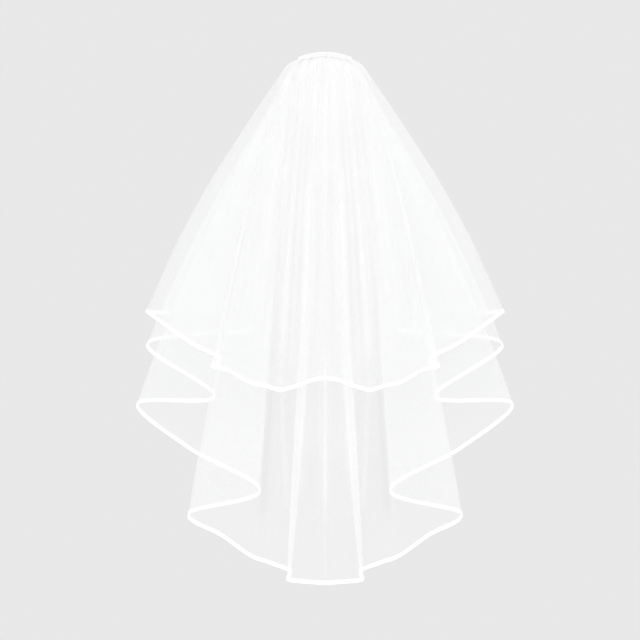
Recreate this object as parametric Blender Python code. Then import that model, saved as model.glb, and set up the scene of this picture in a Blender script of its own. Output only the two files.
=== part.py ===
"""A two-tier bridal veil of soft tulle, hung from a comb as it is worn.

Both tiers are gathered into one narrow heading, swell out over the crown of the
head, and fall in a bell. The middle of the back is the longest part. Towards
each side the cloth turns back on itself in deep folds, and every fold hangs
higher than the one before it, so the hem climbs in a zigzag to the open front.
A satin ribbon is folded over each hem.

Lengths are in millimetres until the meshes are made. The origin is the middle
of the comb's spine, +Z is up and the wearer looks along +Y.
"""
import bpy
import numpy as np

MM = 0.001

WALL = 1.0
SEAM = 0.3
RIBBON_WALL = 1.0
RIBBON_WIDTH = 5.0

HEADING_HALF = 40.0
HEADING_TOP = 1.7
HEADING_ARC_RADIUS = 130.0
HEADING_ARCH_RADIUS = 115.0
SWELL_DROP_SHARE = 0.6
HEADING_OFFSET = (WALL + SEAM) / 2
BINDING_Y = -3.95
BINDING_WALL = 1.0
BINDING_END = 1.5
BINDING_BOTTOM = -3.0
BINDING_COLUMNS = 20

# How cloth hangs: the share of outward travel gained above the middle, the
# width of a fold's turn against the step between its layers, the overlap in
# square millimetres at which a fold is full, and the tightest turn.
BOW = 0.25
TURN_ROUNDNESS = 2.7
FOLD_ONSET = 25.0
LEAST_TURN_RADIUS = 2.5
GATHERS_PER_SIDE = 8
GATHER_DEPTH = 1.0
GATHER_END = 0.5

COMB_HALF = 35.0
COMB_THICKNESS = 2.4
COMB_SPINE = 4.0
COMB_TEETH = 15
TOOTH_LENGTH = 38.0
TOOTH_TIP_SHARE = 0.45
TOOTH_LEAN = 7.0
TOOTH_STEPS = 3

# Each row is one line of the cloth on the left half, from the heading (heading
# x) over the crown (crown x, y) down to the hem (hem x, y, z). Swing is how far
# the line stands aside halfway down. A row with turn 1 is a fold edge, and
# columns is the number of strips between it and the next row.
FOLD_COLUMNS = (
    "name", "heading_x", "crown_x", "crown_y", "hem_x", "hem_y", "hem_z",
    "swing_x", "swing_y", "turn", "columns",
)
LOWER_FOLDS = (
    ("middle ridge", 0, 0, -44, 0, -150, -803, 0, -7, 0, 2),
    ("ridge foot", -2.5, -4, -44, -8, -150, -803, 0, 1, 0, 3),
    ("pleat edge", -6.5, -12, -43, -57, -150, -797, 0, -2, 1, 4),
    ("pleat return", -9.5, -16, -41, -51, -137, -789, 13, 6, 1, 4),
    ("narrow valley", -13.5, -30, -36, -85, -126, -775, 0, 6, 0, 2),
    ("narrow ridge", -17.5, -40, -33, -112, -125, -765, 0, -2, 0, 3),
    ("side panel", -21.5, -52, -27, -156, -110, -736, 0, 0, 0, 4),
    ("first outer fold", -25, -69, -16, -207, -86, -707, 0, 0, 1, 7),
    ("first inner fold", -27, -56, -8, -99, -57, -674, 0, 0, 1, 4),
    ("rising run", -28.5, -65, -3, -208, -41, -610, 0, 0, 0, 4),
    ("second outer fold", -30, -71, 2, -290, -24, -543, 0, 0, 1, 7),
    ("second inner fold", -31.5, -60, 9, -171, 3, -532, 0, 0, 1, 6),
    ("third outer fold", -32.7, -69, 17, -279, 30, -452, 0, 0, 1, 5),
    ("front edge", -34, -52, 24, -114, 58, -430, 0, 0, 0, 0),
)
UPPER_FOLDS = (
    ("middle", 0, 0, -53, 0, -170, -499.5, 0, -3, 0, 2),
    ("first valley", -5, -9, -52, -20, -171, -502.5, 0, 4, 0, 2),
    ("first ridge", -9.5, -17, -51, -36, -176, -508.5, 0, -4, 0, 3),
    ("second valley", -13.5, -25, -50, -52, -179, -513.5, 0, 4, 0, 3),
    ("hem point", -17.5, -34, -47, -67, -182, -516.5, 0, -5, 0, 3),
    ("deep valley", -21.5, -42, -44, -88, -170, -510.5, 0, 9, 0, 3),
    ("side ridge", -24.5, -51, -40, -112, -160, -505.5, 0, -4, 0, 3),
    ("side panel", -27.5, -61, -34, -144, -142, -488.5, 0, 0, 0, 3),
    ("pleat edge", -30, -70, -27, -170, -128, -481.5, 0, 0, 1, 3),
    ("pleat return", -32, -71, -21, -157, -117, -472.5, 0, 0, 1, 3),
    ("side run", -34.5, -76, -12, -203, -97, -447.5, 0, 0, 0, 4),
    ("outer fold back", -36.5, -80, 2, -269, -40, -403.5, 0, 0, 0, 3),
    ("outer fold front", -37.5, -79, 15, -272, 22, -401.5, 0, 0, 0, 4),
    ("front run", -38.5, -72, 26, -236, 72, -403.5, 0, 0, 0, 4),
    ("inner fold", -39.3, -60, 31, -152, 98, -403.5, 0, 0, 1, 5),
    ("front edge", -40, -66, 38, -222, 128, -384.5, 0, 0, 0, 0),
)

# Levels of a tier: shares of the way over the crown, then shares of the fall.
CROWN_SHARES = (0.25, 0.5, 0.75)
FALL_SHARES = (0.0, 0.14, 0.32, 0.52, 0.72, 0.88)

TIERS = {
    "tier_upper": {
        "folds": UPPER_FOLDS, "heading_y": BINDING_Y - HEADING_OFFSET, "heading_bottom": -3.7,
        "swell_z": -9.0, "crown_z": -47.0,
    },
    "tier_lower": {
        "folds": LOWER_FOLDS, "heading_y": BINDING_Y + HEADING_OFFSET, "heading_bottom": -6.0,
        "swell_z": -19.0, "crown_z": -54.0,
    },
}


def clear_scene():
    """Take every object out of the file."""
    for item in list(bpy.data.objects):
        bpy.data.objects.remove(item, do_unlink=True)


def material(name, colour, roughness, alpha=1.0, sheen=0.0):
    """A plain surface for one piece."""
    made = bpy.data.materials.new(name)
    made.use_nodes = True
    shader = made.node_tree.nodes["Principled BSDF"]
    shader.inputs["Base Color"].default_value = (*colour, 1.0)
    shader.inputs["Roughness"].default_value = roughness
    shader.inputs["Alpha"].default_value = alpha
    shader.inputs["Sheen Weight"].default_value = sheen
    return made


def add_mesh(name, points, faces, surface):
    """One closed body from points in millimetres."""
    mesh = bpy.data.meshes.new(name)
    mesh.from_pydata((np.asarray(points) * MM).tolist(), [], faces)
    mesh.validate()
    mesh.materials.append(surface)
    made = bpy.data.objects.new(name, mesh)
    bpy.context.scene.collection.objects.link(made)
    return made


def column(folds, name):
    """One named column of a fold table as numbers."""
    index = FOLD_COLUMNS.index(name)
    return np.array([row[index] for row in folds], dtype=float)


def heading_curve(x):
    """How far the heading bends forward to follow the head at x."""
    return x ** 2 / (2.0 * HEADING_ARC_RADIUS)


def heading_drop(x):
    """How far the heading lies below its middle at x, as it is arched over the head."""
    return x ** 2 / (2.0 * HEADING_ARCH_RADIUS)


def fold_lines(tier):
    """Points of every fold row at every level, and each row's share of the heading.

    From the crown down a row runs outward a little faster at first (BOW), as
    cloth does that is pushed out from inside. Above the crown it follows a
    curve of three points: heading, swell, crown.
    """
    folds = tier["folds"]
    heading_x = column(folds, "heading_x")
    share = -heading_x / HEADING_HALF
    heading = np.stack([heading_x, tier["heading_y"] + heading_curve(heading_x),
                        HEADING_TOP - heading_drop(heading_x)], -1)
    start = heading.copy()
    start[:, 2] = tier["heading_bottom"] - heading_drop(heading_x)
    crown = np.stack([column(folds, "crown_x"), column(folds, "crown_y"),
                      np.full(len(share), tier["crown_z"])], -1)
    hem = np.stack([column(folds, "hem_x"), column(folds, "hem_y"), column(folds, "hem_z")], -1)
    swing = np.stack([column(folds, "swing_x"), column(folds, "swing_y"), np.zeros(len(share))], -1)

    fall = hem - crown
    rate = fall * (1.0 + BOW, 1.0 + BOW, 1.0) + 4.0 * swing
    swell_z = tier["swell_z"] - SWELL_DROP_SHARE * heading_drop(heading_x)
    swell = crown + rate * ((swell_z - tier["crown_z"]) / rate[:, 2])[:, None]
    levels = [heading, start]
    for s in CROWN_SHARES:
        levels.append((1 - s) ** 2 * start + 2 * s * (1 - s) * swell + s ** 2 * crown)
    ribbon_share = 1.0 - RIBBON_WIDTH / np.linalg.norm(fall, axis=1)
    for level in (*FALL_SHARES, ribbon_share, 1.0):
        t = np.broadcast_to(level, share.shape)[:, None]
        out = t + BOW * t * (1 - t)
        levels.append(crown + fall * np.concatenate([out, out, t], 1) + 4 * swing * t * (1 - t))
    return np.array(levels), share


def between_rows(levels, share, folds):
    """The half tier: every level drawn as a smooth curve through its fold rows.

    A fold edge is crossed square to the camera, so the curve is round there and
    the cloth on both of its sides lies flat. Other rows are passed smoothly.
    """
    before = np.concatenate([levels[:, 1:2] * (-1, 1, 1), levels[:, :-1]], 1)
    after = np.concatenate([levels[:, 1:], levels[:, -1:]], 1)
    tangent = (after - before) / 2.0
    tangent[:, -1] *= 2.0
    step = np.abs(after - before)[..., 1] / 2.0
    turn = column(folds, "turn")[None, :]
    overlap = (levels[..., 0] - before[..., 0]) * (levels[..., 0] - after[..., 0])
    folded = turn * np.clip(overlap / FOLD_ONSET, 0.0, 1.0)
    tangent[..., 0] *= 1.0 - folded
    reach = np.maximum(np.abs(levels - before)[..., 0], np.abs(after - levels)[..., 0])
    width = np.maximum(TURN_ROUNDNESS * step, np.sqrt(6 * LEAST_TURN_RADIUS * reach))
    tangent[..., 1] += folded * (width - tangent[..., 1])
    curves = []
    shares = []
    counts = column(folds, "columns").astype(int)
    for k in range(len(folds) - 1):
        t = np.arange(counts[k])[None, :, None] / counts[k]
        a, b = levels[:, k:k + 1], levels[:, k + 1:k + 2]
        ta, tb = tangent[:, k:k + 1], tangent[:, k + 1:k + 2]
        curves.append((2 * t ** 3 - 3 * t ** 2 + 1) * a + (t ** 3 - 2 * t ** 2 + t) * ta
                      + (3 * t ** 2 - 2 * t ** 3) * b + (t ** 3 - t ** 2) * tb)
        shares.append(share[k] + (share[k + 1] - share[k]) * t[0, :, 0])
    curves.append(levels[:, -1:])
    shares.append(share[-1:])
    return np.concatenate(curves, 1), np.concatenate(shares)


def normals(grid):
    """Unit directions square to a sheet of points, pointing out of the veil."""
    across = np.gradient(grid, axis=1)
    down = np.gradient(grid, axis=0)
    square = np.cross(across, down)
    return square / np.linalg.norm(square, axis=2, keepdims=True)


def tier_sheet(tier):
    """The whole sheet of a tier from its left front edge to its right one.

    Small gathers start under the binding and die out halfway down.
    """
    levels, share = fold_lines(tier)
    half, shares = between_rows(levels, share, tier["folds"])
    sheet = np.concatenate([half[:, ::-1], half[:, 1:] * (-1, 1, 1)], 1)
    place = np.concatenate([-shares[::-1], shares[1:]])
    crown = np.array([0.0, 0.0, *CROWN_SHARES])
    fall = np.array([*FALL_SHARES, 1.0, 1.0])
    depth = GATHER_DEPTH * np.concatenate([crown, np.clip(1 - fall / GATHER_END, 0, 1)])
    wave = np.cos(2 * np.pi * GATHERS_PER_SIDE * place)
    edge = np.clip((place.max() - np.abs(place)) * GATHERS_PER_SIDE, 0, 1)
    return sheet + normals(sheet) * (depth[:, None] * (wave * edge)[None, :])[..., None]


def wall_faces(rows, columns):
    """Faces of a closed wall: front grid, back grid, and the four edges."""
    count = rows * columns
    front = np.arange(count).reshape(rows, columns)
    back = front + count
    a, b, c, d = front[:-1, :-1], front[1:, :-1], front[1:, 1:], front[:-1, 1:]
    faces = np.stack([a, d, c, b], -1).reshape(-1, 4).tolist()
    faces += (np.stack([a, b, c, d], -1) + count).reshape(-1, 4).tolist()
    edges = (
        (front[0, :-1], front[0, 1:], back[0, 1:], back[0, :-1]),
        (front[-1, 1:], front[-1, :-1], back[-1, :-1], back[-1, 1:]),
        (front[1:, 0], front[:-1, 0], back[:-1, 0], back[1:, 0]),
        (front[:-1, -1], front[1:, -1], back[1:, -1], back[:-1, -1]),
    )
    for first, second, third, fourth in edges:
        faces += np.stack([fourth, third, second, first], -1).tolist()
    return faces


def folded_strip(rings):
    """Points and faces of a strip folded over an edge, from its U-shaped rings."""
    count, corners = rings.shape[:2]
    points = rings.reshape(-1, 3)
    faces = []
    for k in range(count - 1):
        ring = corners * k
        for j in range(corners):
            n = (j + 1) % corners
            faces.append((ring + corners + j, ring + corners + n, ring + n, ring + j))
    last = corners * (count - 1)
    for a, b, c, d in ((0, 1, 6, 7), (1, 2, 5, 6), (2, 3, 4, 5)):
        faces.append((a, b, c, d))
        faces.append((last + d, last + c, last + b, last + a))
    return points, faces


def strip_rings(upper, lower, upper_square, square, half_gap, wall):
    """Rings of a strip folded round an edge that runs along the points of lower."""
    along = lower - upper
    along /= np.linalg.norm(along, axis=1, keepdims=True)
    outer = half_gap + wall
    return np.stack([
        upper + upper_square * outer,
        lower + along * (SEAM + wall) + square * outer,
        lower + along * (SEAM + wall) - square * outer,
        upper - upper_square * outer,
        upper - upper_square * half_gap,
        lower + along * SEAM - square * half_gap,
        lower + along * SEAM + square * half_gap,
        upper + upper_square * half_gap,
    ], 1)


def build_tier(name, surface, ribbon_name, ribbon_surface):
    """A tier as a wall, and the ribbon folded over its hem."""
    sheet = tier_sheet(TIERS[name])
    square = normals(sheet)
    half = WALL / 2
    points = np.concatenate([(sheet + square * half).reshape(-1, 3),
                             (sheet - square * half).reshape(-1, 3)])
    rows, columns = sheet.shape[:2]
    add_mesh(name, points, wall_faces(rows, columns), surface)
    rings = strip_rings(sheet[-2], sheet[-1], square[-2], square[-1], half + SEAM, RIBBON_WALL)
    add_mesh(ribbon_name, *folded_strip(rings), ribbon_surface)


def build_binding(surface):
    """The ribbon that closes over both headings, open below."""
    end = HEADING_HALF + BINDING_END
    x = np.linspace(-end, end, BINDING_COLUMNS + 1)
    lower = np.stack([x, BINDING_Y + heading_curve(x), BINDING_BOTTOM - heading_drop(x)], -1)
    upper = lower.copy()
    upper[:, 2] = HEADING_TOP - heading_drop(x)
    square = np.zeros_like(lower)
    square[:, 0] = x / HEADING_ARC_RADIUS
    square[:, 1] = -1.0
    square /= np.linalg.norm(square, axis=1, keepdims=True)
    half_gap = SEAM / 2 + WALL + SEAM
    rings = strip_rings(lower, upper, square, square, half_gap, BINDING_WALL)
    add_mesh("binding", *folded_strip(rings), surface)


def build_comb(surface):
    """A spine with a row of tapering teeth, bent and arched to the curve of the head."""
    cells = 2 * COMB_TEETH - 1
    edges_x = np.linspace(-COMB_HALF, COMB_HALF, cells + 1)
    levels_z = [COMB_SPINE / 2, -COMB_SPINE / 2]
    levels_z += [-COMB_SPINE / 2 - TOOTH_LENGTH * (k + 1) / TOOTH_STEPS for k in range(TOOTH_STEPS)]
    points = []
    index = {}

    def point(edge, tooth, level, side):
        """The number of one corner, made when it is first asked for."""
        key = (edge, tooth if level > 1 else -1, level, side)
        if key not in index:
            drop = max(level - 1, 0) / TOOTH_STEPS
            x = edges_x[edge]
            if level > 1:
                middle = (edges_x[2 * tooth] + edges_x[2 * tooth + 1]) / 2
                x = middle + (x - middle) * (1 - drop * (1 - TOOTH_TIP_SHARE))
            thick = COMB_THICKNESS / 2 * (1 - drop * (1 - TOOTH_TIP_SHARE))
            y = heading_curve(x) + side * thick + TOOTH_LEAN * drop ** 2
            index[key] = len(points)
            points.append((x, y, levels_z[level] - heading_drop(x)))
        return index[key]

    faces = []
    for cell in range(cells):
        tooth = cell // 2
        depth = TOOTH_STEPS + 1 if cell % 2 == 0 else 1
        for level in range(depth):
            quad = [(cell, level), (cell + 1, level), (cell + 1, level + 1), (cell, level + 1)]
            near = [point(e, tooth, lv, -1) for e, lv in quad]
            far = [point(e, tooth, lv, 1) for e, lv in quad]
            faces.append(near[::-1])
            faces.append(far)
            if level == 0:
                faces.append((near[0], near[1], far[1], far[0]))
            if level == depth - 1:
                faces.append((near[2], near[3], far[3], far[2]))
            if level > 0 or cell == 0:
                faces.append((near[3], near[0], far[0], far[3]))
            if level > 0 or cell == cells - 1:
                faces.append((near[1], near[2], far[2], far[1]))
    add_mesh("comb", points, faces, surface)


def main():
    """Build every piece of the veil."""
    clear_scene()
    white = (0.93, 0.93, 0.94)
    satin = (0.96, 0.96, 0.97)
    tulle_upper = material("tulle_upper", white, 0.7, 0.45, 0.3)
    tulle_lower = material("tulle_lower", white, 0.7, 0.45, 0.3)
    build_tier("tier_upper", tulle_upper, "ribbon_upper", material("satin_upper", satin, 0.35))
    build_tier("tier_lower", tulle_lower, "ribbon_lower", material("satin_lower", satin, 0.35))
    build_binding(material("satin_binding", satin, 0.38))
    build_comb(material("comb_plastic", (0.9, 0.9, 0.9), 0.2, 0.6))


main()
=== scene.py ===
# %% [markdown]
# # A two-tier bridal veil
# The veil is two pieces of soft tulle gathered into one short heading on a hair comb. It hangs
# as it is worn, seen from behind: a bell over the crown, a long middle, and sides that turn back
# on themselves in folds that climb towards the open front.
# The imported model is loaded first, because every piece here lies on one of its solids.

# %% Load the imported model
import math
import bmesh
import bpy
import numpy as np
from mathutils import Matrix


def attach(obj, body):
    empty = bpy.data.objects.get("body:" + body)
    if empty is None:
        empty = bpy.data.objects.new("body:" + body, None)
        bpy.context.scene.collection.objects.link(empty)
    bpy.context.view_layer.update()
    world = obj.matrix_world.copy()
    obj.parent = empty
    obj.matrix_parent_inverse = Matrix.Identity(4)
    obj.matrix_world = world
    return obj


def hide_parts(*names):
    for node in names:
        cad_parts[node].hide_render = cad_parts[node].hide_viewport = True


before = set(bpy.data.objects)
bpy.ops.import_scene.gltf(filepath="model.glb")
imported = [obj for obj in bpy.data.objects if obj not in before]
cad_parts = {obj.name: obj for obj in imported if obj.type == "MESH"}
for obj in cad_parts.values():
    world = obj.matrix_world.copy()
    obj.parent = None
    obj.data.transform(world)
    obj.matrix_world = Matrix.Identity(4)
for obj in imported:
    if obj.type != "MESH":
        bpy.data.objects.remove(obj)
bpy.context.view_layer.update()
print("nodes:", sorted(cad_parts))

# %% [markdown]
# ## The camera
# A long lens stands 3.2 m behind the back of the veil, level, at the middle of its height. At
# that distance the deep folds at the front are hardly smaller than the ones at the back, as in
# the photograph.

# %% Camera
MM = 0.001
CAMERA_DISTANCE = 3.2
CAMERA_PLANE_Y = -0.1
CAMERA_CENTRE = (-0.0076, -0.412)
VIEW_WIDTH = 0.9626
SENSOR = 36.0

camera_data = bpy.data.cameras.new("camera")
camera_data.sensor_width = SENSOR
camera_data.lens = SENSOR * CAMERA_DISTANCE / VIEW_WIDTH
camera = bpy.data.objects.new("camera", camera_data)
camera.location = (CAMERA_CENTRE[0], CAMERA_PLANE_Y - CAMERA_DISTANCE, CAMERA_CENTRE[1])
camera.rotation_euler = (math.radians(90), 0, 0)
bpy.context.scene.collection.objects.link(camera)
bpy.context.scene.camera = camera
print("lens", round(camera_data.lens, 1), "mm")

# %% [markdown]
# ## A wire that can be added up
# Shader maths reads best as a sum. This small class wraps one output socket, so that an
# expression such as 1 - mask adds the Math nodes by itself. Any other node comes from `node`.

# %% Shader wires
class Wire:
    """One output socket of a material, with the arithmetic that the materials use."""

    def __init__(self, tree, socket):
        self.tree = tree
        self.socket = socket

    def node(self, kind, settings=None, output=0, **inputs):
        """Adds a node: its settings first, then a value or a wire for each named socket."""
        made = self.tree.nodes.new(kind)
        for key, value in (settings or {}).items():
            setattr(made, key, value)
        for key, value in inputs.items():
            place = int(key[1:]) if key[0] == "i" and key[1:].isdigit() else key.replace("_", " ")
            socket = made.inputs[place]
            if isinstance(value, Wire):
                self.tree.links.new(value.socket, socket)
            else:
                socket.default_value = value
        return Wire(self.tree, made.outputs[output])

    def math(self, operation, other=0.0, first=None):
        return self.node("ShaderNodeMath", {"operation": operation},
                         i0=self if first is None else first, i1=other)

    def __add__(self, other):
        return self.math("ADD", other)

    __radd__ = __add__

    def __mul__(self, other):
        return self.math("MULTIPLY", other)

    def __sub__(self, other):
        return self.math("SUBTRACT", other)

    def __rsub__(self, other):
        return self.math("SUBTRACT", self, first=other)

    def __truediv__(self, other):
        return self.math("DIVIDE", other)

    def __rpow__(self, base):
        return self.math("POWER", self, first=base)

    def cosine(self):
        return self.math("COSINE")

    def step(self, low, high):
        """0 below low, 1 above high, and a soft rise between."""
        return self.node("ShaderNodeMapRange", {"interpolation_type": "SMOOTHSTEP"},
                         Value=self, From_Min=low, From_Max=high)

    def blend(self, colour_a, colour_b):
        """From colour_a where the wire is 0 to colour_b where it is 1."""
        return self.node("ShaderNodeMix", {"data_type": "RGBA"}, output=2,
                         i0=self, i6=colour_a, i7=colour_b)


def new_material(name):
    """A material with a Principled shader, and a wire to start expressions from."""
    material = bpy.data.materials.new(name)
    material.use_nodes = True
    tree = material.node_tree
    shader = tree.nodes["Principled BSDF"]
    return material, shader, Wire(tree, shader.outputs[0])


def feed(start, shader, **sockets):
    """Sets or links the shader's sockets by name."""
    for key, value in sockets.items():
        socket = shader.inputs[key.replace("_", " ")]
        if isinstance(value, Wire):
            start.tree.links.new(value.socket, socket)
        else:
            socket.default_value = value


def let_light_through(start, shader, colour, share, cover):
    """What net does to light: a share comes through its threads, and 1 - cover through its holes."""
    tree = start.tree
    glow = start.node("ShaderNodeBsdfTranslucent", Color=colour)
    threads = start.node("ShaderNodeMixShader", i0=share, i1=Wire(tree, shader.outputs[0]), i2=glow)
    holes = start.node("ShaderNodeBsdfTransparent")
    net = start.node("ShaderNodeMixShader", i0=cover, i1=holes, i2=threads)
    tree.links.new(net.socket, tree.nodes["Material Output"].inputs["Surface"])


def near_white(value, blue=0.0):
    """A grey of one value, with a little more blue."""
    return (value, value, value + blue, 1)


print("shader wires ready")

# %% [markdown]
# ## The studio
# White net only shows where it is whiter than what is behind it. The floor and the air around it
# are one plain pale grey, so that each further layer of tulle is a little brighter and the satin
# is the brightest of all. Three very soft suns, behind the camera, at the side and in front of the
# veil, make the cloth brighter than the air. The veil hangs at the height of a head, so the floor
# is far below it.

# %% Floor and light
PALE = 0.81
FLOOR_Z = -1.62
FLOOR_REACH = 60.0
SKY_STEPS = 90
SUNS = (
    # name, strength, spread, tilt from straight down, turn from shining towards +Y; all in degrees
    ("camera_sun", 1.34, 120.0, 76.0, -20.0),
    ("side_sun", 0.55, 100.0, 70.0, 75.0),
    ("front_sun", 1.17, 140.0, 78.0, 165.0),
)


def light_on_floor(strength, spread, tilt):
    """Light on a level floor: the mean of cos(angle to the floor's normal), where above 0, over the disc.

    The disc is strength / (pi sin^2 half) bright, and each ring of it has sin(a) da of sky.
    """
    half = math.radians(spread) / 2
    outward = (np.arange(SKY_STEPS) + 0.5) / SKY_STEPS * half
    around = (np.arange(2 * SKY_STEPS) + 0.5) / SKY_STEPS * np.pi
    a, b = np.meshgrid(outward, around)
    up = np.cos(a) * math.cos(tilt) + np.sin(a) * np.cos(b) * math.sin(tilt)
    sky = np.sin(a) * (half / SKY_STEPS) * (np.pi / SKY_STEPS)
    return strength / (math.pi * math.sin(half) ** 2) * float((np.clip(up, 0, None) * sky).sum())


world = bpy.data.worlds.new("studio_air")
world.use_nodes = True
world.node_tree.nodes["Background"].inputs["Color"].default_value = near_white(PALE)
world.node_tree.nodes["Background"].inputs["Strength"].default_value = 1.0
bpy.context.scene.world = world
bpy.context.scene.view_settings.view_transform = "Standard"

sun_on_floor = 0.0
for name, strength, spread, tilt, turn in SUNS:
    sun_data = bpy.data.lights.new(name, "SUN")
    sun_data.energy = strength
    sun_data.angle = math.radians(spread)
    sun = bpy.data.objects.new(name, sun_data)
    sun.rotation_euler = (math.radians(tilt), 0.0, math.radians(turn))
    bpy.context.scene.collection.objects.link(sun)
    sun_on_floor += light_on_floor(strength, spread, math.radians(tilt)) / math.pi

floor_mesh = bpy.data.meshes.new("floor")
corners = ((-1, -1), (1, -1), (1, 1), (-1, 1))
floor_points = [(FLOOR_REACH * x, FLOOR_REACH * y, FLOOR_Z) for x, y in corners]
floor_mesh.from_pydata(floor_points, [], [(0, 1, 2, 3)])
floor = bpy.data.objects.new("floor", floor_mesh)
bpy.context.scene.collection.objects.link(floor)
floor_white = PALE / (PALE + sun_on_floor)
floor_material, floor_shader, floor_wire = new_material("pale_floor")
feed(floor_wire, floor_shader, Base_Color=near_white(floor_white), Roughness=1.0)
floor_shader.inputs["Specular IOR Level"].default_value = 0.0
floor_mesh.materials.append(floor_material)
print("floor white", round(floor_white, 3))

# %% [markdown]
# ## How the cloth hangs
# A maker thinks of a draped tier as a few lines of cloth, each running from the heading over the
# crown and down to the hem. Where such a line is a fold edge the cloth turns back. So each tier
# is a short table with one row for each line of its left half, in millimetres, and the rest is
# drawn smoothly between the lines. These are the solids' own tables.

# %% Named sizes and fold tables
WALL = 1.0
SEAM = 0.3
RIBBON_WIDTH = 5.0
HEADING_HALF = 40.0
HEADING_TOP = 1.7
HEADING_ARC_RADIUS = 130.0
HEADING_ARCH_RADIUS = 115.0
SWELL_DROP_SHARE = 0.6
HEADING_OFFSET = (WALL + SEAM) / 2
BINDING_Y = -3.95
BOW = 0.25
TURN_ROUNDNESS = 2.7
FOLD_ONSET = 170.0
LEAST_TURN_RADIUS = 2.5

FOLD_COLUMNS = ("name", "heading_x", "crown_x", "crown_y", "hem_x", "hem_y", "hem_z",
                "swing_x", "swing_y", "turn", "columns")
LOWER_FOLDS = (
    ("middle ridge", 0, 0, -44, 0, -150, -803, 0, -7, 0, 2),
    ("ridge foot", -2.5, -4, -44, -8, -150, -803, 0, 1, 0, 3),
    ("pleat edge", -6.5, -12, -43, -57, -150, -797, 0, -2, 1, 4),
    ("pleat return", -9.5, -16, -41, -51, -137, -789, 13, 6, 1, 4),
    ("narrow valley", -13.5, -30, -36, -85, -126, -775, 0, 6, 0, 2),
    ("narrow ridge", -17.5, -40, -33, -112, -125, -765, 0, -2, 0, 3),
    ("side panel", -21.5, -52, -27, -156, -110, -736, 0, 0, 0, 4),
    ("first outer fold", -25, -69, -16, -207, -86, -707, 0, 0, 1, 7),
    ("first inner fold", -27, -56, -8, -99, -57, -674, 0, 0, 1, 4),
    ("rising run", -28.5, -65, -3, -208, -41, -610, 0, 0, 0, 4),
    ("second outer fold", -30, -71, 2, -290, -24, -543, 0, 0, 1, 7),
    ("second inner fold", -31.5, -60, 9, -171, 3, -532, 0, 0, 1, 6),
    ("third outer fold", -32.7, -69, 17, -279, 30, -452, 0, 0, 1, 5),
    ("front edge", -34, -52, 24, -114, 58, -430, 0, 0, 0, 0),
)
UPPER_FOLDS = (
    ("middle", 0, 0, -53, 0, -170, -499.5, 0, -3, 0, 2),
    ("first valley", -5, -9, -52, -20, -171, -502.5, 0, 4, 0, 2),
    ("first ridge", -9.5, -17, -51, -36, -176, -508.5, 0, -4, 0, 3),
    ("second valley", -13.5, -25, -50, -52, -179, -513.5, 0, 4, 0, 3),
    ("hem point", -17.5, -34, -47, -67, -182, -516.5, 0, -5, 0, 3),
    ("deep valley", -21.5, -42, -44, -88, -170, -510.5, 0, 9, 0, 3),
    ("side ridge", -24.5, -51, -40, -112, -160, -505.5, 0, -4, 0, 3),
    ("side panel", -27.5, -61, -34, -144, -142, -488.5, 0, 0, 0, 3),
    ("pleat edge", -30, -70, -27, -170, -128, -481.5, 0, 0, 1, 3),
    ("pleat return", -32, -71, -21, -157, -117, -472.5, 0, 0, 1, 3),
    ("side run", -34.5, -76, -12, -203, -97, -447.5, 0, 0, 0, 4),
    ("outer fold back", -36.5, -80, 2, -269, -40, -403.5, 0, 0, 0, 3),
    ("outer fold front", -37.5, -79, 15, -272, 22, -401.5, 0, 0, 0, 4),
    ("front run", -38.5, -72, 26, -236, 72, -403.5, 0, 0, 0, 4),
    ("inner fold", -39.3, -60, 31, -152, 98, -403.5, 0, 0, 1, 5),
    ("front edge", -40, -66, 38, -222, 128, -384.5, 0, 0, 0, 0),
)
print(len(LOWER_FOLDS), "lower lines,", len(UPPER_FOLDS), "upper lines")

# %% [markdown]
# ## From lines to a sheet
# First every line is followed down: straight inside the heading, a three-point curve over the
# crown, then outward and down, a little faster outward at first. Then each level is drawn across
# the lines as a smooth curve that is square to the fold edges, so that the turns are round.

# %% Lines and levels
def column(folds, name):
    """One named column of a fold table as numbers."""
    index = FOLD_COLUMNS.index(name)
    return np.array([row[index] for row in folds], dtype=float)


def heading_curve(x):
    """The heading bends forward round the head: x squared over twice the head's radius."""
    return x ** 2 / (2.0 * HEADING_ARC_RADIUS)


def heading_drop(x):
    """The heading is arched over the head: x squared over twice the arch's radius."""
    return x ** 2 / (2.0 * HEADING_ARCH_RADIUS)


def fold_lines(tier, crown_shares, fall_shares):
    """Every line at every level.

    Over the crown: (1-s)^2 heading + 2s(1-s) swell + s^2 crown. Below it: crown + fall * t
    down and crown + fall * (t + BOW t(1-t)) outward, plus swing * 4t(1-t).
    """
    folds = tier["folds"]
    heading_x = column(folds, "heading_x")
    share = -heading_x / HEADING_HALF
    heading = np.stack([heading_x, tier["heading_y"] + heading_curve(heading_x),
                        HEADING_TOP - heading_drop(heading_x)], -1)
    start = heading.copy()
    start[:, 2] = tier["heading_bottom"] - heading_drop(heading_x)
    crown = np.stack([column(folds, "crown_x"), column(folds, "crown_y"),
                      np.full(len(share), tier["crown_z"])], -1)
    hem = np.stack([column(folds, "hem_x"), column(folds, "hem_y"), column(folds, "hem_z")], -1)
    swing = np.stack([column(folds, "swing_x"), column(folds, "swing_y"), np.zeros(len(share))], -1)
    fall = hem - crown
    rate = fall * (1.0 + BOW, 1.0 + BOW, 1.0) + 4.0 * swing
    swell_z = tier["swell_z"] - SWELL_DROP_SHARE * heading_drop(heading_x)
    swell = crown + rate * ((swell_z - tier["crown_z"]) / rate[:, 2])[:, None]
    levels = [heading]
    for s in crown_shares:
        levels.append((1 - s) ** 2 * start + 2 * s * (1 - s) * swell + s ** 2 * crown)
    for level in fall_shares:
        t = np.full((len(share), 1), level)
        out = t + BOW * t * (1 - t)
        levels.append(crown + fall * np.concatenate([out, out, t], 1) + 4 * swing * t * (1 - t))
    return np.array(levels), share


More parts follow.
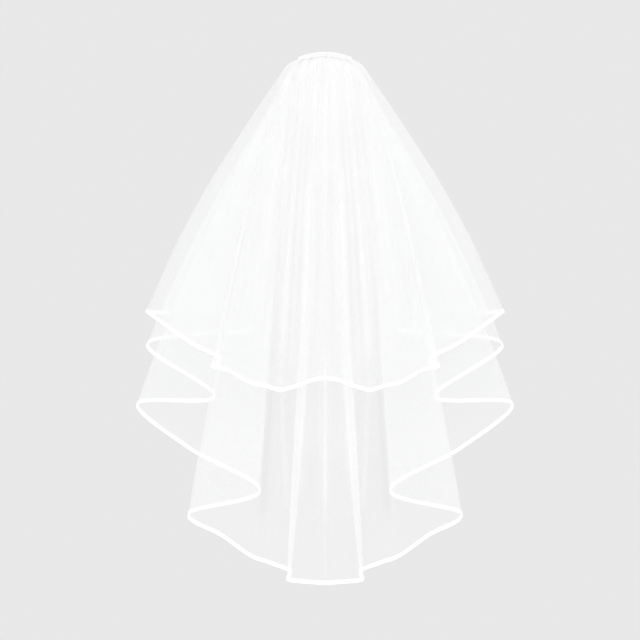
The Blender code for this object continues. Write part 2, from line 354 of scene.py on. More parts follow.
def between_rows(levels, share, folds, finer):
    """Each level as a smooth curve through its lines, with `finer` strips for each of the solid's.

    The curve between two lines is a cubic with a slope at both. At a fold edge the slope points
    straight back. Its size is the larger of TURN_ROUNDNESS * the step between the layers and
    sqrt(6 * LEAST_TURN_RADIUS * the reach of the layers sideways).
    """
    before = np.concatenate([levels[:, 1:2] * (-1, 1, 1), levels[:, :-1]], 1)
    after = np.concatenate([levels[:, 1:], levels[:, -1:]], 1)
    tangent = (after - before) / 2.0
    tangent[:, -1] *= 2.0
    step = np.abs(after - before)[..., 1] / 2.0
    overlap = (levels[..., 0] - before[..., 0]) * (levels[..., 0] - after[..., 0])
    onset = np.clip(overlap / FOLD_ONSET, 0.0, 1.0)
    folded = column(folds, "turn")[None, :] * onset * onset * (3 - 2 * onset)
    tangent[..., 0] *= 1.0 - folded
    reach_x = np.maximum(np.abs(levels - before)[..., 0], np.abs(after - levels)[..., 0])
    width = np.maximum(TURN_ROUNDNESS * step, np.sqrt(6 * LEAST_TURN_RADIUS * reach_x))
    tangent[..., 1] += folded * (width - tangent[..., 1])
    curves = []
    shares = []
    counts = column(folds, "columns").astype(int) * finer
    for k in range(len(folds) - 1):
        t = np.arange(counts[k])[None, :, None] / counts[k]
        a, b = levels[:, k:k + 1], levels[:, k + 1:k + 2]
        ta, tb = tangent[:, k:k + 1], tangent[:, k + 1:k + 2]
        curves.append((2 * t ** 3 - 3 * t ** 2 + 1) * a + (t ** 3 - 2 * t ** 2 + t) * ta
                      + (3 * t ** 2 - 2 * t ** 3) * b + (t ** 3 - t ** 2) * tb)
        shares.append(share[k] + (share[k + 1] - share[k]) * t[0, :, 0])
    curves.append(levels[:, -1:])
    shares.append(share[-1:])
    return np.concatenate(curves, 1), np.concatenate(shares)


def normals(grid):
    """Unit directions square to a sheet, inward: the cross product of its slopes across and down."""
    square = np.cross(np.gradient(grid, axis=1), np.gradient(grid, axis=0))
    return square / np.linalg.norm(square, axis=2, keepdims=True)


print("lines and levels ready")

# %% [markdown]
# ## Gathers and creases
# Tulle is stiff for its weight, so it keeps small creases. At the heading a wide cloth is pulled
# into a hand's width, and the gathers fan out and fade as they fall. Lower down a few long soft
# troughs and ridges stay, where the photograph shows its dark and bright lines. They are listed
# in two tables for each tier. On the back a crease follows a line from its top to its
# bottom, in millimetres from the middle. On the side folds its place is metres along the hem.
# A ridge is bunched, which shows more on net than its slope does. A valley is pulled thin, and
# the thinner net darkens it as painted shade in the crease. A row without depth only thins or
# bunches the cloth, and where it thins it paints shade the same way.

# %% Crease tables
GATHERS_PER_SIDE = 8
GATHER_DEPTH = 0.8
GATHER_END = 0.5
WANDER = 0.012
WANDER_WAVES = 7.0
FINE_GATHERS = (
    # waves across the heading, depth, share of the fall where they end, phase
    (19.0, 0.38, 0.34, 0.4),
    (31.0, 0.19, 0.22, 1.9),
    (47.0, 0.10, 0.12, 3.1),
)
UPPER_BACK_CREASES = (
    # top x, top z, bottom x, bottom z, half width, depth, share of cloth added (a negative share is
    # painted shade)
    (45, -130, 55, -500, 42, 0.0, 0.42),
    (2, -60, 2, -300, 8, -1.0, -0.10),
    (13, -180, 14, -500, 4.5, -1.4, -0.40),
    (27, -160, 28, -500, 7, 1.7, 0.35),
    (40, -250, 46, -490, 5.0, -1.9, -0.50),
    (58, -130, 63, -490, 7.5, 2.0, 0.75),
    (66, -110, 81, -505, 4.0, -2.6, -0.90),
    (66, -110, 108, -450, 15, 2.0, 0.30),
    (96, -200, 134, -430, 7, -1.4, -0.25),
)
LOWER_BACK_CREASES = (
    # top x, top z, bottom x, bottom z, half width, depth, share of cloth added (a negative share is
    # painted shade)
    (0, -430, 0, -725, 3.8, 1.2, 0.8),
    (0, -640, 0, -810, 6, 0.0, -0.60),
    (30, -460, 38, -700, 4.5, 0.5, 0.90),
    (13, -490, 19, -720, 5, -1.2, -0.05),
    (25, -200, 25, -640, 22, 0.0, 0.85),
    (25, -200, 25, -745, 22, 0.0, 0.22),
    (36, -150, 38, -500, 6, -1.2, -0.50),
    (46, -510, 66, -660, 5, -1.2, -0.10),
    (68, -470, 56, -710, 4.5, 1.4, 1.10),
    (69, -150, 82, -500, 5.5, -1.8, -0.60),
    (80, -440, 95, -730, 10, -2.0, -0.97),
    (126, -460, 132, -690, 16, 1.6, 0.10),
)
BACK_FADE = 20.0

UPPER_SIDE_CREASES = (
    # place along the hem in metres, half width, depth, top, bottom, lean
    (0.220, 12, 1.9, -140, -400, 0.07),
    (0.275, 11, -1.7, -120, -380, -0.04),
    (0.335, 14, 2.0, -110, -370, 0.06),
    (0.400, 13, -1.9, -130, -350, 0.05),
    (0.470, 12, 1.6, -120, -360, -0.06),
    (0.540, 12, -1.7, -130, -350, 0.05),
    (0.610, 11, 1.5, -120, -340, 0.03),
)
LOWER_SIDE_CREASES = (
    # place along the hem in metres, half width, depth, top, bottom, lean
    (0.205, 14, -2.2, -250, -690, 0.10),
    (0.262, 12, 1.8, -300, -640, -0.04),
    (0.330, 13, -2.0, -260, -600, 0.06),
    (0.405, 16, 2.1, -240, -640, -0.08),
    (0.500, 15, -1.9, -220, -560, 0.05),
    (0.610, 17, 2.2, -200, -520, 0.09),
    (0.720, 14, -1.8, -220, -500, -0.06),
    (0.840, 15, 1.9, -180, -430, 0.05),
    (0.960, 13, -1.6, -180, -420, -0.04),
)
LEAN_SHARE = 0.25
OTHER_SIDE_WIDTH = 1.12
OTHER_SIDE_DEPTH = 0.88
START_LENGTH = 70.0
END_LENGTH = 60.0


def soft_ends(height, top, bottom):
    """1 between top and bottom, with a slow start below the top and a slow end above the bottom."""
    fade = np.clip((top - height) / START_LENGTH, 0, 1) * np.clip((height - bottom) / END_LENGTH, 0, 1)
    return fade * fade * (3 - 2 * fade)


def back_creases(table, sheet, across, limit):
    """Outward push in mm and bunching of the back's creases: sums of bell(x - line(z)) * soft ends."""
    x, z = np.abs(sheet[..., 0]), sheet[..., 2]
    on_back = np.clip((limit - np.abs(across)) / BACK_FADE, 0, 1)[None, :]
    push, bunch_and_shade = np.zeros_like(x), np.zeros_like(x)
    for top_x, top_z, bottom_x, bottom_z, half_width, depth, thicker_or_shade in table:
        line = top_x + (bottom_x - top_x) * np.clip((top_z - z) / (top_z - bottom_z), 0, 1)
        bell = np.exp(-((x - line) / half_width) ** 2) * on_back * soft_ends(z, top_z, bottom_z)
        push += depth * bell
        # A negative share thins the net in the trough: painted shade in the crease.
        bunch_and_shade += thicker_or_shade * bell
    return push, bunch_and_shade


def side_creases(table, across, height, side):
    """Push in mm of the creases on the side folds: the sum of depth * bell(across) * soft ends.

    A crease runs towards the heading, so its place narrows with height, and it leans a little.
    The other side of the veil gets the same creases, about a tenth wider and shallower.
    """
    push = np.zeros_like(height)
    wider = np.where(side < 0, 1.0, OTHER_SIDE_WIDTH)
    shallower = np.where(side < 0, 1.0, OTHER_SIDE_DEPTH)
    for place, half_width, depth, top, bottom, lean in table:
        middle = (top + bottom) / 2
        drift = lean * (height - middle) * LEAN_SHARE
        bell = np.exp(-((across - place / MM - drift) / (half_width * wider)) ** 2)
        push += depth * shallower * bell * soft_ends(height, top, bottom)
    return push


print(len(UPPER_BACK_CREASES) + len(UPPER_SIDE_CREASES), "and",
      len(LOWER_BACK_CREASES) + len(LOWER_SIDE_CREASES), "creases on each half")

# %% [markdown]
# ## The sheet of a tier
# The fine sheet is the solid's middle surface with more strips, its gathers, and the creases
# laid on top. The upper one leaves the binding a little higher, as a soft puff. The sheet also
# carries the cut: how far each point is along the hem and down the cloth when the tier lies flat
# on the table. From that comes the bunching, which is how many times wider the flat cloth is than
# the room it hangs in. A fold edge is bunched as well, from where the fold opens downward.

# %% Build the sheets
TIERS = {
    "upper": {"folds": UPPER_FOLDS, "back": UPPER_BACK_CREASES, "side": UPPER_SIDE_CREASES,
              "back_limit": 195.0, "heading_y": BINDING_Y - HEADING_OFFSET,
              "heading_bottom": -3.7, "swell_z": -3.9, "crown_z": -47.0, "gather_line": 0.54,
              "edge_bunch": 0.4},
    "lower": {"folds": LOWER_FOLDS, "back": LOWER_BACK_CREASES, "side": LOWER_SIDE_CREASES,
              "back_limit": 150.0, "heading_y": BINDING_Y + HEADING_OFFSET,
              "heading_bottom": -6.0, "swell_z": -19.0, "crown_z": -54.0, "gather_line": 0.64,
              "edge_bunch": 0.8},
}
FINER = 6
CROWN_LEVELS = 26
FALL_LEVELS = 104
EDGE_RADIUS = 5.0
EDGE_ONSET = 0.25
EDGE_RATE = 3.0
MOST_GATHERED = 14.0
LEAST_BUNCH = 0.25
MOST_BUNCH = 16.0
SMALLEST_STEP = 1e-3


def arc(points, axis):
    """Running length along one direction of a grid."""
    steps = np.linalg.norm(np.diff(points, axis=axis), axis=2)
    zero = np.zeros_like(np.take(steps, [0], axis=axis))
    return np.concatenate([zero, np.cumsum(steps, axis=axis)], axis)


def turning(grid):
    """How tightly the sheet turns across: EDGE_RADIUS * change of its normal / step, at most 1."""
    step = np.linalg.norm(np.gradient(grid, axis=1), axis=2)
    bend = np.linalg.norm(np.gradient(normals(grid), axis=1), axis=2) / np.maximum(step, SMALLEST_STEP)
    return np.clip(bend * EDGE_RADIUS, 0, 1)


def tier_sheet(tier):
    """The fine sheet in mm, with its flat coordinates in metres and its bunching."""
    crown_shares = np.linspace(0, 1, CROWN_LEVELS, endpoint=False)
    fall_shares = np.linspace(0, 1, FALL_LEVELS)
    levels, share = fold_lines(tier, crown_shares, fall_shares)
    half, shares = between_rows(levels, share, tier["folds"], FINER)
    sheet = np.concatenate([half[:, ::-1], half[:, 1:] * (-1, 1, 1)], 1)
    place = np.concatenate([-shares[::-1], shares[1:]])
    hem_arc = arc(sheet[-1:], 1)[0]
    across = hem_arc - hem_arc[len(hem_arc) // 2]

    crown = np.concatenate([[0.0], crown_shares])
    fade = np.concatenate([crown, np.clip(1 - fall_shares / GATHER_END, 0, 1)])
    edge = np.clip((place.max() - np.abs(place)) * GATHERS_PER_SIDE, 0, 1)
    wave = np.cos(2 * np.pi * GATHERS_PER_SIDE * place)
    push = GATHER_DEPTH * fade[:, None] * (wave * edge)[None, :]
    for waves, depth, end, phase in FINE_GATHERS:
        fine_fade = np.concatenate([crown ** 0.5, np.clip(1 - fall_shares / end, 0, 1)])
        wander = place + WANDER * np.sin(WANDER_WAVES * place + phase)
        push += depth * fine_fade[:, None] * (np.cos(np.pi * waves * wander + phase) * edge)[None, :]
    push += side_creases(tier["side"], np.abs(across)[None, :], sheet[..., 2], np.sign(across)[None, :])
    back_push, back_bunch_and_shade = back_creases(tier["back"], sheet, across, tier["back_limit"])
    opened = np.concatenate([0 * crown, np.clip(EDGE_RATE * (fall_shares - EDGE_ONSET), 0, 1)])
    edges = turning(sheet) * opened[:, None]
    room = np.gradient(arc(sheet, 1), axis=1)
    sheet = sheet + normals(sheet) * (push - back_push)[..., None]

    down = arc(sheet, 0)
    gathered_u = place / place.max() * tier["gather_line"] / 2
    fallen = down / down[-1:]
    flat_u = gathered_u + (across * MM - gathered_u) * fallen ** 2
    cloth = np.gradient(flat_u, axis=1) / MM
    bunching = np.clip(cloth / np.maximum(room, SMALLEST_STEP), 1.0, MOST_GATHERED)
    # The back creases' negative shares thin the net here: painted shade in the creases.
    bunching = bunching * (1 + back_bunch_and_shade + tier["edge_bunch"] * edges)
    return sheet, flat_u, down * MM, np.clip(bunching, LEAST_BUNCH, MOST_BUNCH)


sheets = {}
for name, tier in TIERS.items():
    sheets[name] = tier_sheet(tier)
    grid, flat_u, down, bunching = sheets[name]
    halfway = bunching[CROWN_LEVELS + FALL_LEVELS // 2]
    print(name, grid.shape, "hem", round(float(arc(grid[-1:], 1)[0, -1])), "mm, bunching at the crown",
          round(float(bunching[CROWN_LEVELS].mean()), 2), "halfway", round(float(halfway.mean()), 2))

# %% [markdown]
# ## Surfaces from grids
# One helper turns any grid of points into a smooth mesh. It writes whole arrays at once, which is
# quick, and stores the flat coordinates as a UV map, so that the net and the weave follow the cloth.

# %% Grid to mesh
def grid_faces(rows, columns, closed=False):
    """Quads of a grid; a closed grid joins its last column to its first."""
    index = np.arange(rows * columns).reshape(rows, columns)
    if closed:
        index = np.concatenate([index, index[:, :1]], 1)
    return np.stack([index[:-1, :-1], index[1:, :-1], index[1:, 1:], index[:-1, 1:]], -1).reshape(-1, 4)


def mesh_piece(name, points_mm, quads, material, uv=None, attributes=None, node=None):
    """A smooth piece from points in mm and quads, with UVs and attributes for each point."""
    mesh = bpy.data.meshes.new(name)
    points = np.ascontiguousarray(points_mm.reshape(-1, 3) * MM, dtype=np.float32)
    quads = np.ascontiguousarray(quads, dtype=np.int32)
    mesh.vertices.add(len(points))
    mesh.vertices.foreach_set("co", points.ravel())
    mesh.loops.add(quads.size)
    mesh.loops.foreach_set("vertex_index", quads.ravel())
    mesh.polygons.add(len(quads))
    mesh.polygons.foreach_set("loop_start", np.arange(0, quads.size, quads.shape[1], dtype=np.int32))
    mesh.update(calc_edges=True)
    mesh.polygons.foreach_set("use_smooth", np.ones(len(quads), dtype=bool))
    if uv is not None:
        layer = mesh.uv_layers.new(name="flat")
        layer.data.foreach_set("uv", uv.reshape(-1, 2)[quads.ravel()].astype(np.float32).ravel())
    for key, values in (attributes or {}).items():
        layer = mesh.attributes.new(key, "FLOAT", "POINT")
        layer.data.foreach_set("value", values.astype(np.float32).ravel())
    mesh.validate()
    mesh.materials.append(material)
    piece = bpy.data.objects.new(name, mesh)
    bpy.context.scene.collection.objects.link(piece)
    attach(piece, "root")
    if node:
        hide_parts(node)
    return piece


print("mesh helper ready")

# %% [markdown]
# ## Tulle
# Soft tulle is a net of tiny six-sided holes, knitted from one fine thread. Two waves would give a
# square net, and three waves at 60 degrees give the six-sided one: their sum is high in the holes
# and low along the threads. One layer covers about a quarter of what is behind it. Where the
# cloth is bunched, the layers that are pressed together are counted as a power of what one lets
# through, so the heading turns nearly solid white as the real one does. The net itself shows less
# there, because the threads of the layers fall between each other.

# %% Tulle material
NET_PITCH = 0.0013
LAYER_COVER = 0.26
THREAD_COVER = 0.37
HOLE_COVER = 0.17
HOLE_EDGE = (-0.7, 1.6)
COS_60 = 0.5
SIN_60 = 0.866
LIGHT_THROUGH = 0.45
TULLE_WHITE = (0.988, 0.989, 0.992, 1)
TULLE_SHADE = (0.97318, 0.974165, 0.98208, 1)


def flat_cloth(start):
    """Where a point is when the cloth lies flat: as a vector, along the hem, and down the cloth."""
    flat = start.node("ShaderNodeUVMap", {"uv_map": "flat"})
    along = start.node("ShaderNodeSeparateXYZ", Vector=flat)
    return flat, along, Wire(start.tree, along.socket.node.outputs["Y"])


def tulle(name):
    """Net by three waves: cos(a) + cos(b) + cos(c), with a, b, c 60 degrees apart on the flat cloth."""
    material, shader, start = new_material(name)
    flat, u, v = flat_cloth(start)
    turn = 2 * math.pi / NET_PITCH
    a = u * turn
    b = u * (turn * COS_60) + v * (turn * SIN_60)
    c = u * (turn * COS_60) - v * (turn * SIN_60)
    waves = a.cosine() + b.cosine() + c.cosine()
    hole = waves.step(*HOLE_EDGE)
    one_layer = THREAD_COVER - hole * (THREAD_COVER - HOLE_COVER)
    bunching = start.node("ShaderNodeAttribute", {"attribute_name": "bunching"}, output=2)
    crowd = bunching.math("MAXIMUM", 1.0)
    one_layer = (one_layer - LAYER_COVER) / (crowd * crowd) + LAYER_COVER
    # Bunching below one, from the thinned creases, lets more grey through: painted shade.
    passed_by_rest = (1 - LAYER_COVER) ** (bunching - 1)
    cover = 1 - (1 - one_layer) * passed_by_rest
    cloud = start.node("ShaderNodeTexNoise", Vector=flat, Scale=9.0, Detail=3.0, Roughness=0.55)
    tone = cloud.step(0.3, 0.7).blend(TULLE_SHADE, TULLE_WHITE)
    bump = start.node("ShaderNodeBump", Strength=0.25, Distance=0.0002, Height=waves)
    feed(start, shader, Base_Color=tone, Roughness=0.62, Normal=bump)
    shader.inputs["Specular IOR Level"].default_value = 0.25
    shader.inputs["Sheen Weight"].default_value = 0.2
    shader.inputs["Sheen Roughness"].default_value = 0.4
    let_light_through(start, shader, tone, LIGHT_THROUGH, cover)
    return material


tulle_materials = {name: tulle(f"tulle_{name}") for name in TIERS}
print("tulle: one layer covers", LAYER_COVER)

# %% [markdown]
# ## The two tiers
# Each tier is one open sheet on its solid's middle surface. It has no thickness, because real
# tulle is a tenth of a millimetre thick and a second wall would count every layer twice.

# %% Tiers
for name, tier in TIERS.items():
    grid, flat_u, down, bunching = sheets[name]
    rows, columns = grid.shape[:2]
    quads = grid_faces(rows, columns)
    uv = np.stack([flat_u, down], -1)
    mesh_piece(f"tulle_{name}_sheet", grid, quads, tulle_materials[name], uv,
                             {"bunching": bunching}, f"tier_{name}")
    print(name, 2 * len(quads), "triangles")

# %% [markdown]
# ## Satin ribbon
# The hem is bound with satin ribbon, folded in half over the raw edge and stitched through. Satin
# floats its threads along the ribbon, so it has fine lengthwise lines and a soft gloss, and each
# selvage is a slightly thicker cord. The hem's satin has a faint glow: painted light that keeps it
# whiter than the net around it, though it is no lamp. The binding is the same satin, darker and
# without the glow, close to the tone of the gathered net.

# %% Satin material
# The glow tint and strength are painted light on the hem ribbon, which is no lamp.
PAINTED_GLOW_TINT = (0.94, 0.97, 1.0, 1)
PAINTED_GLOW = 0.17
SATINS = {
    # pitch of the threads in metres, white, painted glow
    "satin_ribbon": (0.00042, 0.985, PAINTED_GLOW),
    "satin_binding": (0.0005, 0.90, 0.0),
}
FLOAT_LENGTH = 2.2
FLOAT_SWAY = 0.6
FLOAT_HEIGHT, CROSS_HEIGHT, SLOW_HEIGHT = 0.6, 0.25, 1.5
SATIN_SHADE = 0.03


def satin(name, pitch, white, glow):
    """Floating threads along the ribbon: a wave across its width, broken by slow noise."""
    material, shader, start = new_material(name)
    flat, u, v = flat_cloth(start)
    floats = (v * (2 * math.pi / pitch)).cosine()
    crossings = (u * (2 * math.pi / (pitch * FLOAT_LENGTH)) + floats * FLOAT_SWAY).cosine()
    slow = start.node("ShaderNodeTexNoise", Vector=flat, Scale=120.0, Detail=2.0)
    height = floats * FLOAT_HEIGHT + crossings * CROSS_HEIGHT + slow * SLOW_HEIGHT
    tone = slow.step(0.25, 0.75).blend(near_white(white - SATIN_SHADE, 0.007), near_white(white, 0.005))
    rough = 0.30 + slow * 0.14
    bump = start.node("ShaderNodeBump", Strength=0.3, Distance=0.00012, Height=height)
    feed(start, shader, Base_Color=tone, Roughness=rough, Normal=bump)
    shader.inputs["Specular IOR Level"].default_value = 0.5
    shader.inputs["Sheen Weight"].default_value = 0.25
    shader.inputs["Sheen Roughness"].default_value = 0.3
    # Emission here is painted light: a faint glow that makes the satin brighter than its lighting does.
    shader.inputs["Emission Color"].default_value = PAINTED_GLOW_TINT
    shader.inputs["Emission Strength"].default_value = glow
    return material


satins = {name: satin(name, *values) for name, values in SATINS.items()}
print("satins:", sorted(satins))

# %% [markdown]
# ## Ribbon over the hem
# The ribbon is a profile carried along the hem: up one side, round the fold and up the other, with
# a small cord at each selvage. It is made from the tier's own last points, moved out, so it
# follows every fold of the hem. Small puckers between the stitches keep it from looking moulded.

# %% Ribbons
RIBBON_GAP = 0.3
RIBBON_THICK = 0.4
SELVAGE = 0.12
SELVAGE_WIDTH = 0.5
SELVAGE_FOOT = 0.9
FOLD_STEPS = 7
HEM_ROWS = 3
PUCKER = 0.10
STITCH_PITCH = 4.0


def folded_profile(width, gap, thick):
    """Points (across, beyond the edge) of a ribbon folded over an edge, in mm: outer side, then inner."""
    def leaf(offset, cord):
        turn = np.linspace(0, np.pi, FOLD_STEPS)
        fold = np.stack([offset * np.cos(turn), SEAM + offset * np.sin(turn)], -1)
        up = np.array([[offset + cord, -width], [offset + cord, SELVAGE_WIDTH - width],
                       [offset, SELVAGE_FOOT - width], [offset, -width / 2]])
        return np.concatenate([up, fold, (up * (-1, 1))[::-1]])
    return np.concatenate([leaf(gap + thick, SELVAGE), leaf(gap, 0.0)[::-1]])


def edge_frame(edge, beyond, square):
    """An edge line with unit directions beyond it and out of the cloth, made square to each other."""
    beyond = beyond / np.linalg.norm(beyond, axis=1, keepdims=True)
    out = square - beyond * (square * beyond).sum(1, keepdims=True)
    return edge, beyond, out / np.linalg.norm(out, axis=1, keepdims=True)


def folded_ribbon(name, line, width, gap, thick, material, node):
    """A ribbon over an edge: edge + across * out + reach * beyond, for every point of the line."""
    edge, beyond, out = line
    length = arc(edge[None], 1)[0]
    profile = folded_profile(width, gap, thick)
    across, reach = profile[:, 0][None, :, None], profile[:, 1][None, :, None]
    wave = np.cos(2 * np.pi * length / STITCH_PITCH)[:, None, None]
    pucker = PUCKER * wave * np.clip(-reach / width, 0, 1) * np.sign(across)
    points = edge[:, None] + (across + pucker) * out[:, None] + reach * beyond[:, None]
    count, corners = points.shape[:2]
    quads = grid_faces(count, corners, closed=True)[:, ::-1]
    rung = np.arange(corners // 2 - 1)
    ends = np.stack([rung, rung + 1, corners - 2 - rung, corners - 1 - rung], -1)
    quads = np.concatenate([quads, ends[:, ::-1], ends + (count - 1) * corners])
    around = np.concatenate([[0], np.cumsum(np.linalg.norm(np.diff(profile, axis=0), axis=1))])
    uv = np.stack(np.broadcast_arrays(length[:, None] * MM, around[None, :] * MM), -1)
    return mesh_piece(name, points, quads, material, uv, None, node)


hem_lines = {}
for name in TIERS:
    grid = sheets[name][0]
    hem_lines[name] = edge_frame(grid[-1], grid[-1] - grid[-1 - HEM_ROWS], normals(grid)[-1])
    folded_ribbon(f"ribbon_{name}_strip", hem_lines[name], RIBBON_WIDTH, RIBBON_GAP,
                                  RIBBON_THICK, satins["satin_ribbon"], f"ribbon_{name}")

# %% [markdown]
# ## Binding
# Both gathered headings are caught in one short satin ribbon folded down over them. It is the
# thin arched line at the very top, and its lower edge closes onto the puff of the gathers.

# %% Binding
BINDING_END = 1.5
BINDING_BOTTOM = -3.5
BINDING_GAP = 0.9
BINDING_THICK = 0.5
BINDING_POINTS = 240

binding_half = HEADING_HALF + BINDING_END
x = np.linspace(-binding_half, binding_half, BINDING_POINTS)
zero = np.zeros_like(x)
top_edge = np.stack([x, BINDING_Y + heading_curve(x), HEADING_TOP - heading_drop(x)], -1)
binding_line = edge_frame(top_edge, np.stack([zero, zero, zero + 1.0], -1),
                          np.stack([x / HEADING_ARC_RADIUS, zero - 1.0, zero], -1))
binding_width = HEADING_TOP - BINDING_BOTTOM
binding = folded_ribbon("satin_binding_strip", binding_line, binding_width, BINDING_GAP, BINDING_THICK,
                        satins["satin_binding"], "binding")
print("binding", round(2 * binding_half), "mm long,", len(binding.data.polygons), "quads")

# %% [markdown]
# ## Stitches
# One row of lock stitches runs a millimetre inside each selvage, on both faces. A stitch is a tiny
# grain of thread that sinks at both ends.

# %% Stitches
STITCH_LENGTH = 2.3
STITCH_RADIUS = 0.17
STITCH_INSET = 1.0
STITCH_SHAPE = ((-0.5, 0.15), (-0.34, 0.85), (0.0, 1.0), (0.34, 0.85), (0.5, 0.15))
STITCH_SIDES = 6
STITCH_SINK = 0.04
STITCH_SPREAD = 1.3
THREAD_SHADE = (0.93, 0.93, 0.94, 1)
THREAD_LIGHT = (0.985, 0.985, 0.985, 1)

thread_material, thread_shader, thread_start = new_material("thread")
thread_place = thread_start.node("ShaderNodeTexCoord", output=3)
twist = thread_start.node("ShaderNodeTexNoise", Vector=thread_place, Scale=900.0, Detail=1.0)
thread_bump = thread_start.node("ShaderNodeBump", Strength=0.3, Distance=0.0001, Height=twist)
feed(thread_start, thread_shader, Base_Color=twist.blend(THREAD_SHADE, THREAD_LIGHT),
     Roughness=0.5, Normal=thread_bump)


def stitch_row(name, line, width, half_thick):
    """Grains of thread at even steps along both faces of a folded ribbon, all in one mesh."""
    edge, beyond, out = line
    length = arc(edge[None], 1)[0]
    centres = np.arange(STITCH_PITCH / 2, length[-1] - STITCH_PITCH / 2, STITCH_PITCH)

    def along(values):
        return np.stack([np.interp(centres, length, values[:, k]) for k in range(3)], -1)

    middle, far, up = along(edge), along(beyond), along(out)
    run = np.cross(up, far)
    run /= np.linalg.norm(run, axis=1, keepdims=True)
    spot = middle - far * (width - STITCH_INSET)
    turn = np.arange(STITCH_SIDES) * 2 * np.pi / STITCH_SIDES
    shape = np.array(STITCH_SHAPE)
    ring = shape[:, None, 1] * STITCH_RADIUS
    grains = []
    for side in (1.0, -1.0):
        base = spot + side * up * (half_thick - STITCH_SINK)
        grain = (base[:, None, None]
                 + run[:, None, None] * (shape[:, None, 0] * STITCH_LENGTH)[None, ..., None]
                 + up[:, None, None] * (ring * np.cos(turn))[None, ..., None]
                 + far[:, None, None] * (ring * np.sin(turn) * STITCH_SPREAD)[None, ..., None])
        grains.append(grain)
    points = np.concatenate(grains)
    count = STITCH_SIDES * len(shape)
    one = grid_faces(len(shape), STITCH_SIDES, closed=True)
    quads = (one[None] + count * np.arange(len(points))[:, None, None]).reshape(-1, 4)
    return mesh_piece(name, points, quads, thread_material)


ribbon_half = RIBBON_GAP + RIBBON_THICK
stitches = {name: stitch_row(f"stitches_{name}", hem_lines[name], RIBBON_WIDTH, ribbon_half)
            for name in TIERS}
binding_half_thick = BINDING_GAP + BINDING_THICK
stitches["binding"] = stitch_row("stitches_binding", binding_line, binding_width, binding_half_thick)
print({name: len(piece.data.polygons) for name, piece in stitches.items()})

# %% [markdown]
# ## Comb
# The comb is moulded in clear plastic, with a spine and fifteen tapering teeth. Its solid has the
# right shape, so a copy gets softened edges. White thread is wound round the spine and through the
# binding between the teeth, which is how a veil is sewn to its comb.

# %% Comb
COMB_EDGE = 0.35
SAME_POINT = 1e-6
FLAT_ANGLE = 1.0
EDGE_ANGLE = 35.0
COMB_SHADE = (0.90, 0.92, 0.94, 1)
COMB_LIGHT = (0.97, 0.98, 0.98, 1)

comb_material, comb_shader, comb_start = new_material("comb_plastic")
comb_place = comb_start.node("ShaderNodeTexCoord", output=3)
flow = comb_start.node("ShaderNodeTexNoise", Vector=comb_place, Scale=60.0, Detail=2.0)
comb_bump = comb_start.node("ShaderNodeBump", Strength=0.12, Distance=0.0003, Height=flow)
feed(comb_start, comb_shader, Base_Color=flow.blend(COMB_SHADE, COMB_LIGHT),
     Roughness=0.10 + flow * 0.10, Alpha=0.42 + flow * 0.12, Normal=comb_bump)
comb_shader.inputs["IOR"].default_value = 1.49

comb_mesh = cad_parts["comb"].data.copy()
comb = bpy.data.objects.new("comb_moulding", comb_mesh)
bpy.context.scene.collection.objects.link(comb)
form = bmesh.new()
form.from_mesh(comb_mesh)
bmesh.ops.remove_doubles(form, verts=form.verts, dist=SAME_POINT)
bmesh.ops.dissolve_limit(form, angle_limit=math.radians(FLAT_ANGLE), verts=form.verts, edges=form.edges)
form.to_mesh(comb_mesh)
form.free()
comb_mesh.materials.clear()
comb_mesh.materials.append(comb_material)
soft_edge = comb.modifiers.new("soft_edge", "BEVEL")
soft_edge.width = COMB_EDGE * MM
soft_edge.segments = 2
soft_edge.limit_method = "ANGLE"
soft_edge.angle_limit = math.radians(EDGE_ANGLE)
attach(comb, "root")
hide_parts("comb")
print("comb", len(comb_mesh.polygons), "faces before its edges are softened")

# %% [markdown]
# ## Thread that holds the comb
# Each turn of thread goes over the binding, down the front of the spine and back under, through
# the gap between two teeth. Two turns lie side by side, a little apart and a little crooked. Seen
# from the end, a turn is an oval with squared corners: cos and sin to a power below one.

# %% Path of the thread
COMB_HALF = 35.0
COMB_TEETH = 15
WRAP_RADIUS = 0.16
WRAP_STEPS = 28
WRAP_FRONT = 1.5
WRAP_HIGH = 3.4
WRAP_LOW = -3.35
WRAP_APART = 0.3
WRAP_CROOK = 0.25
WRAP_CROOK_WAVE = 12.9
WRAP_SQUARENESS = 0.6


def squared(wave):
    """A wave with fuller turns: its sign times its size to the power WRAP_SQUARENESS."""
    return np.sign(wave) * np.abs(wave) ** WRAP_SQUARENESS


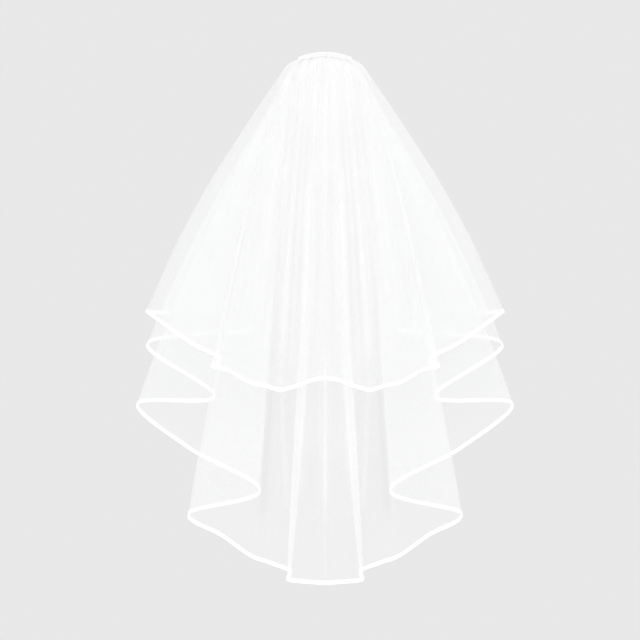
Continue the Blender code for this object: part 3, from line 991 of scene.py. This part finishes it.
gap_pitch = 2 * COMB_HALF / (2 * COMB_TEETH - 1)
gaps = -COMB_HALF + gap_pitch * (2 * np.arange(COMB_TEETH - 1) + 1.5)
places = np.concatenate([gaps - WRAP_APART, gaps + WRAP_APART])
crook = WRAP_CROOK * np.sin(WRAP_CROOK_WAVE * places)
angle = np.linspace(0, 2 * np.pi, WRAP_STEPS, endpoint=False)
swing, rise = squared(np.cos(angle)), squared(np.sin(angle))
back_y = BINDING_Y - BINDING_GAP - BINDING_THICK - SELVAGE - WRAP_RADIUS
deep, middle_y = (WRAP_FRONT - back_y) / 2, (WRAP_FRONT + back_y) / 2
high, middle_z = (WRAP_HIGH - WRAP_LOW) / 2, (WRAP_HIGH + WRAP_LOW) / 2
centre = np.stack([places[:, None] + crook[:, None] * swing[None, :],
                   (middle_y + deep * swing)[None, :] + heading_curve(places)[:, None],
                   (middle_z + high * rise)[None, :] - heading_drop(places)[:, None]], -1)
loop_out = np.stack([np.zeros(WRAP_STEPS), high * swing, deep * rise], -1)
loop_out /= np.linalg.norm(loop_out, axis=1, keepdims=True)
print(len(places), "turns,", round(2 * deep, 1), "mm deep and", round(2 * high, 1), "mm high")

# %% [markdown]
# The thread is a thin tube round each path: centre + radius * (cos * sideways + sin * outward). Its
# last ring is joined to its first.

# %% Thread round the spine
WRAP_SIDES = 6

turn = np.arange(WRAP_SIDES) * 2 * np.pi / WRAP_SIDES
sideways = np.array([1.0, 0.0, 0.0])
ring = np.cos(turn)[:, None] * sideways + np.sin(turn)[:, None] * loop_out[None, :, None]
tube = centre[:, :, None] + WRAP_RADIUS * ring
one = grid_faces(WRAP_STEPS, WRAP_SIDES, closed=True)
joint = np.arange(WRAP_SIDES)
after = (joint + 1) % WRAP_SIDES
last = (WRAP_STEPS - 1) * WRAP_SIDES
one = np.concatenate([one, np.stack([last + joint, joint, after, last + after], -1)])
quads = (one[None] + WRAP_STEPS * WRAP_SIDES * np.arange(len(places))[:, None, None]).reshape(-1, 4)
wraps = mesh_piece("thread_on_comb", tube, quads, thread_material)
print("thread", len(wraps.data.polygons), "quads")

# %% [markdown]
# A maker cuts each tier as a part of an oval: short along the gathered line, wider at the hem, with
# sides that run up to the front. Here only the width of each tier's flat cloth at the hem is worked out.

# %% Sheets of cloth
for name, tier in TIERS.items():
    grid, flat_u, down, bunching = sheets[name]
    width = float(flat_u[-1, -1] - flat_u[-1, 0])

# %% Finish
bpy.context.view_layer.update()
